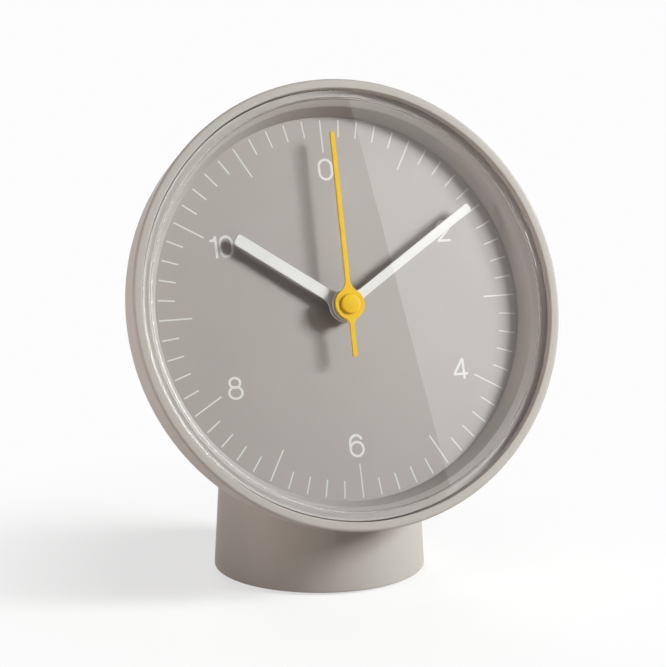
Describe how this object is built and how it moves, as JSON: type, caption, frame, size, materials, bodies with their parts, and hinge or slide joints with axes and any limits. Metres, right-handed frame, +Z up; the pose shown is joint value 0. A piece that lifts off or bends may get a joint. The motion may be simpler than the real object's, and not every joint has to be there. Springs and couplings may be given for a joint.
{
  "type": "table clock",
  "caption": "Round battery table clock: a face leaning back in a shallow drafted case, with three hands behind a clear lens, on a short tapered foot.",
  "frame": {"origin": "middle of the underside of the foot's pad, on the table", "axes": "+Z up, the face looks towards -Y and leans back by 18 degrees, +X to the reader's right"},
  "size_m": [0.142, 0.0849, 0.1596],
  "materials": {
    "grey_plastic": "matte",
    "dial_paint": "matte",
    "clear_acrylic": "gloss",
    "white_paint": "satin",
    "yellow_paint": "satin",
    "black_plastic": "matte",
    "acetal": "satin",
    "brass": "satin",
    "steel": "satin",
    "magnet": "matte",
    "copper": "satin",
    "board": "satin",
    "cell": "satin",
    "pad": "matte"
  },
  "bodies": {
    "case": {"foot_pad": "pad", "base_plate": "black_plastic", "ballast": "steel", "foot": "grey_plastic", "front_case": "grey_plastic", "rear_housing": "grey_plastic", "rear_cover": "grey_plastic", "movement_case": "black_plastic", "movement_cover": "black_plastic", "stator": "steel", "coil_core": "steel", "coil": "copper", "circuit_board": "board", "chip": "black_plastic", "quartz_can": "steel", "battery": "cell", "contact_plus": "brass", "contact_minus": "brass", "dial": "dial_paint", "dial_ring": "grey_plastic", "lens": "clear_acrylic", "case_screw_1": "steel", "case_screw_2": "steel", "case_screw_3": "steel", "case_screw_4": "steel", "works_screw_1": "steel", "works_screw_2": "steel", "cover_screw_1": "steel", "cover_screw_2": "steel", "cover_screw_3": "steel", "cover_screw_4": "steel", "motor_screw_1": "steel", "motor_screw_2": "steel", "foot_screw_1": "steel", "foot_screw_2": "steel", "plate_screw_1": "steel", "plate_screw_2": "steel", "plate_screw_3": "steel", "ballast_screw": "steel"},
    "seconds": {"second_wheel": "brass", "second_hand": "yellow_paint", "second_hand_cap": "yellow_paint"},
    "minutes": {"minute_wheel": "brass", "minute_hand": "white_paint"},
    "hours": {"hour_wheel": "acetal", "hour_hand": "white_paint"},
    "third": {"third_wheel": "acetal"},
    "intermediate": {"intermediate_wheel": "acetal"},
    "rotor": {"rotor_magnet": "magnet", "rotor_pinion": "acetal"},
    "setting": {"motion_wheel": "acetal", "set_knob": "black_plastic"},
    "door": {"battery_door": "grey_plastic"}
  },
  "joints": [
    {"name": "second_turn", "type": "hinge", "parent": "case", "child": "seconds", "pos_m": [0, -0.0185, 0.089], "axis": [0, 0.9511, -0.309], "continuous": true},
    {"name": "minute_turn", "type": "hinge", "parent": "case", "child": "minutes", "pos_m": [0, -0.0185, 0.089], "axis": [0, 0.9511, -0.309], "continuous": true},
    {"name": "hour_turn", "type": "hinge", "parent": "case", "child": "hours", "pos_m": [0, -0.0185, 0.089], "axis": [0, 0.9511, -0.309], "continuous": true},
    {"name": "third_turn", "type": "hinge", "parent": "case", "child": "third", "pos_m": [0.01255, -0.01816, 0.09004], "axis": [0, 0.9511, -0.309], "continuous": true},
    {"name": "intermediate_turn", "type": "hinge", "parent": "case", "child": "intermediate", "pos_m": [0, -0.01461, 0.10098], "axis": [0, 0.9511, -0.309], "continuous": true},
    {"name": "rotor_turn", "type": "hinge", "parent": "case", "child": "rotor", "pos_m": [0.00935, -0.01294, 0.10612], "axis": [0, 0.9511, -0.309], "continuous": true},
    {"name": "setting_turn", "type": "hinge", "parent": "case", "child": "setting", "pos_m": [-0.0126, -0.0185, 0.089], "axis": [0, 0.9511, -0.309], "continuous": true},
    {"name": "door_lift", "type": "slide", "parent": "case", "child": "door", "axis": [0, 0.9511, -0.309], "range_m": [0, 0.06]}
  ],
  "couplings": [
    {"joint": "minute_turn", "follows": "second_turn", "ratio": 0.016667},
    {"joint": "hour_turn", "follows": "second_turn", "ratio": 0.0013889},
    {"joint": "third_turn", "follows": "second_turn", "ratio": -0.13333},
    {"joint": "setting_turn", "follows": "second_turn", "ratio": -0.0055556},
    {"joint": "intermediate_turn", "follows": "second_turn", "ratio": -5},
    {"joint": "rotor_turn", "follows": "second_turn", "ratio": 30}
  ]
}
